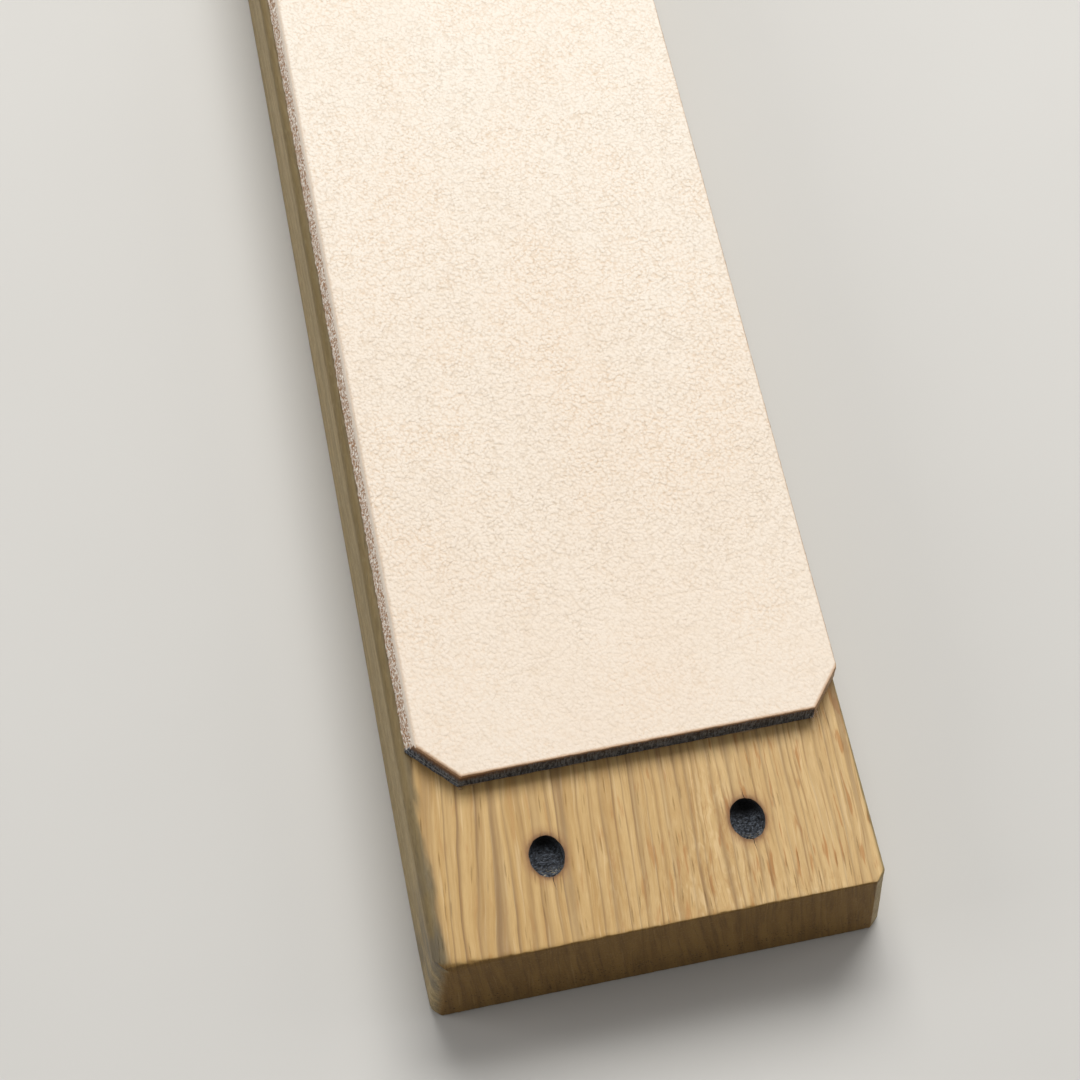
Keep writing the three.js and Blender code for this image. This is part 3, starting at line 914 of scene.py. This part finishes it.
def build_leather_strip():
    makers = (leather_top, leather_flesh, leather_bevel, leather_trimmed_edge, leather_burnt_edge)
    materials = [make() for make in makers]
    slot_of = {"top": 0, "bottom": 1, "left": 2, "right": 3, "near": 4, "far": 4}
    edges = [0, 0.05, 0.11, 0.18, 0.27, 0.38, 0.55, 0.8, 1.2, 1.8]
    end_edges = [0, 0.04, 0.09, 0.15, 0.24, 0.38, 0.6, 0.9]
    rising = [0, 0.12, 0.3]
    falling = [0.42, 0.3, 0.2, 0.12, 0.06, 0.02, 0]
    along = [(6.0, 0.4), (115, 0.42), (LEATHER_LENGTH - 7, 0.9), (LEATHER_LENGTH, 0.5)]
    xs = lattice(0, LEATHER_WIDTH, edges, edges[::-1], (LEATHER_WIDTH, 0.75))
    ys = lattice(0, LEATHER_LENGTH, end_edges, end_edges[::-1], *along)
    zs = lattice(0, LEATHER_HEIGHT, rising, falling, (LEATHER_HEIGHT, 0.22))
    lattice_points, faces, sides = shell_over_box(xs, ys, zs)
    from_near = lattice_points[:, 1]
    shaped = roughen_strip(strip_points(lattice_points), from_near, LEATHER_LENGTH - from_near)
    middles = lattice_points[faces].mean(axis=1)
    slots = []
    for side, (_, y, z) in zip(sides, middles):
        from_end = min(y, LEATHER_LENGTH - y)
        clip_inset = LEFT_CLIP[0] * (1 - from_end / LEFT_CLIP[1])
        on_left_clip = side == "left" and clip_inset > LEATHER_BEVEL * z / LEATHER_HEIGHT
        slots.append(slot_of["near"] if on_left_clip else slot_of[side])
    strip = mesh_object("leather_strip_body", shaped, faces, materials, slots)
    crease_by_angle(strip, 55)
    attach(strip, "root")
    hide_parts("leather_strip")
    return strip


def fibre_mesh(strands, rng):
    """Points and faces of three-sided strands, given as (root, direction, length, thickness)."""
    points, faces = [], []
    segments = 4
    for root, direction, length, thickness in strands:
        heading = Vector(direction).normalized()
        curl = Vector([rng.uniform(-1, 1) for _ in range(3)]) * 0.5
        place = Vector(root)
        first = len(points)
        for n in range(segments):
            across = heading.orthogonal().normalized()
            other = heading.cross(across)
            radius = thickness / 2 * (1 - 0.75 * n / segments)
            for corner in range(3):
                turn = 2 * math.pi * corner / 3
                points.append(place + (across * math.cos(turn) + other * math.sin(turn)) * radius)
            place = place + heading * (length / segments)
            heading = (heading + curl * (0.6 + 0.3 * n)).normalized()
        points.append(place)
        faces.append((first + 2, first + 1, first))
        for n in range(segments - 1):
            for corner in range(3):
                a = first + 3 * n + corner
                b = first + 3 * n + (corner + 1) % 3
                faces.append((a, b, b + 3, a + 3))
        tip, last = len(points) - 1, first + 3 * (segments - 1)
        for corner in range(3):
            faces.append((last + corner, last + (corner + 1) % 3, tip))
    return points, faces


def build_edge_fuzz():
    """Loose fibres along the raw left edge, and a few longer ones at the near right corner."""
    rng = random.Random(21)
    strands = []
    for _ in range(EDGE_FIBRES):
        along = rng.uniform(LEFT_CLIP[1] + 0.4, LEATHER_LENGTH - LEFT_CLIP[1] - 0.4)
        height = rng.uniform(0.05, RAW_EDGE_HEIGHT)
        x = LEATHER_LEFT + LEATHER_BEVEL * height / LEATHER_HEIGHT + 0.12
        root = (x, LEATHER_START + along + 0.5, LEATHER_BOTTOM + height)
        direction = (-1.0, rng.uniform(-1.6, 1.6), rng.uniform(-0.7, 1.1))
        strands.append((root, direction, rng.uniform(0.12, 0.3), rng.uniform(0.03, 0.06)))
    corner_x = LEATHER_RIGHT - RIGHT_CLIP[0]
    for _ in range(CORNER_FIBRES):
        x = corner_x + rng.uniform(-0.5, 0.5)
        y = LEATHER_START + skew_at(x) + max(0.0, x - corner_x) * 1.3 + 0.1
        root = (x, y, LEATHER_BOTTOM + rng.uniform(0.05, 0.7))
        direction = (rng.uniform(-0.2, 1.0), -1.0, rng.uniform(-0.3, 0.3))
        strands.append((root, direction, rng.uniform(0.4, 0.9), rng.uniform(0.025, 0.045)))
    points, faces = fibre_mesh(strands, rng)
    fuzz = mesh_object("leather_edge_fuzz", [tuple(p) for p in points], faces, [loose_fibre()])
    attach(fuzz, "root")
    return fuzz


# ---------------------------------------------------------------- glue


def build_glue():
    """The glue film, uneven at its rim, with the bead squeezed out at the strip's near left corner."""
    edges = [0, 0.4, 1.0]
    end_edges = [0, 0.3, 0.7, 1.2]
    xs = lattice(0, LEATHER_WIDTH, edges, edges[::-1], (LEATHER_WIDTH, 1.5))
    ys = lattice(0, LEATHER_LENGTH, end_edges, end_edges[::-1], (40, 0.5), (LEATHER_LENGTH, 1.5))
    levels = [0, 0.5, 1.0]
    lattice_points, faces, _ = shell_over_box(xs, ys, levels)
    x, y, level = lattice_points.T
    from_near, from_far = y, LEATHER_LENGTH - y
    left, right = strip_outline(from_near, from_far)
    uneven = bumps(lattice_points, (0.45, 0.45, 0.0), 31)
    inset = 0.12 - 0.3 * uneven + np.where(level == 0.5, -0.04, 0.0)
    left = np.maximum(left + inset, LEATHER_LEFT + 0.25)
    right = np.minimum(right - inset, LEATHER_RIGHT - 1.25)
    new_x = left + (right - left) * x / LEATHER_WIDTH
    end_inset = inset * (np.clip(1 - from_near / 1.2, 0, 1) - np.clip(1 - from_far / 1.2, 0, 1))
    skew_share = np.clip(from_far / LEATHER_LENGTH, 0, 1)
    new_y = LEATHER_START + y + end_inset + skew_at(new_x) * skew_share
    height = LEATHER_BOTTOM - BAR_TOP
    points = np.stack([new_x, new_y, BAR_TOP + 0.005 + level * (height + 0.02)], 1)
    film = mesh_object("glue_film_body", points, faces, [dried_glue()])
    corner_x = LEATHER_LEFT + LEFT_CLIP[0]
    add_bead(film, (corner_x - 0.1, LEATHER_START + skew_at(corner_x) - 0.12, BAR_TOP + 0.1))
    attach(film, "root")
    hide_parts("glue_film")
    return film


def add_bead(film, centre):
    """Adds a lumpy bead of glue to the film's own mesh."""
    shape = bmesh.new()
    shape.from_mesh(film.data)
    made = bmesh.ops.create_icosphere(shape, subdivisions=4, radius=1.0)
    for vertex in made["verts"]:
        lump = 1 + 0.25 * noise.noise(vertex.co * 1.7)
        size = Vector(BEAD) * lump
        vertex.co = (Vector(centre) + vertex.co * size) * MM
    for face in shape.faces:
        face.smooth = True
    shape.to_mesh(film.data)
    shape.free()


# ---------------------------------------------------------------- stage, light and camera


def build_floor():
    """A plain pale sheet of paper, far wider than the view."""
    g = Graph("floor_paper")
    grain = g.noise(g.stretch(g.position, (0.02, 0.02, 0.02)), detail=3)
    colour = g.mix(grain, (0.60, 0.59, 0.57), (0.63, 0.62, 0.60))
    material = g.finish(colour, 0.9, grain, 0.02, specular=0.1)
    half = 4000.0
    corners = [(-half, -half, 0), (half, -half, 0), (half, half, 0), (-half, half, 0)]
    floor = mesh_object("floor", corners, [(0, 1, 2, 3)], [material])
    floor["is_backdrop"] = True


def soft_box(name, place, aim, size, watts, colour):
    """A rectangular lamp at place that faces aim."""
    lamp = bpy.data.lights.new(name, "AREA")
    lamp.shape = "RECTANGLE"
    lamp.size, lamp.size_y = size
    lamp.energy = watts
    lamp.color = colour
    holder = bpy.data.objects.new(name, lamp)
    holder.location = place
    holder.rotation_euler = (Vector(aim) - Vector(place)).to_track_quat("-Z", "Y").to_euler()
    bpy.context.scene.collection.objects.link(holder)


def build_light():
    aim = (0.0, -0.07, 0.0)
    soft_box("key", (0.14, 0.44, 0.80), aim, (0.7, 0.5), 9.2, (1.0, 0.99, 0.965))
    soft_box("left_fill", (-0.85, 0.05, 0.40), aim, (0.5, 0.7), 2.3, (1.0, 0.975, 0.94))
    soft_box("right_fill", (0.85, -0.10, 0.40), aim, (0.5, 0.7), 1.4, (1.0, 0.975, 0.94))
    world = bpy.data.worlds.new("studio")
    world.use_nodes = True
    background = world.node_tree.nodes["Background"]
    background.inputs["Color"].default_value = (0.95, 0.945, 0.93, 1)
    background.inputs["Strength"].default_value = 0.25
    bpy.context.scene.world = world


def build_camera():
    """Looks down the strop from above its marked end."""
    azimuth, elevation, roll = math.radians(-12.3), math.radians(60.1), math.radians(1.75)
    distance = 0.298
    low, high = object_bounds()
    aim = Vector((-0.0043, low.y + 0.0466, high.z))
    flat = math.cos(elevation)
    back = Vector((math.sin(azimuth) * flat, -math.cos(azimuth) * flat, math.sin(elevation)))
    level = Vector((math.cos(azimuth), math.sin(azimuth), 0))
    right = level * math.cos(roll) + back.cross(level) * math.sin(roll)
    up = back.cross(right)
    camera = bpy.data.objects.new("camera", bpy.data.cameras.new("camera"))
    camera.data.sensor_width = 36
    camera.data.lens = 90
    turn = Matrix((right, up, back)).transposed().to_4x4()
    camera.matrix_world = Matrix.Translation(aim + back * distance) @ turn
    bpy.context.scene.collection.objects.link(camera)
    bpy.context.scene.camera = camera


build_floor()
build_light()
build_camera()
build_oak_bar()
build_leather_strip()
build_edge_fuzz()
build_glue()
bpy.context.scene.view_settings.view_transform = "Standard"
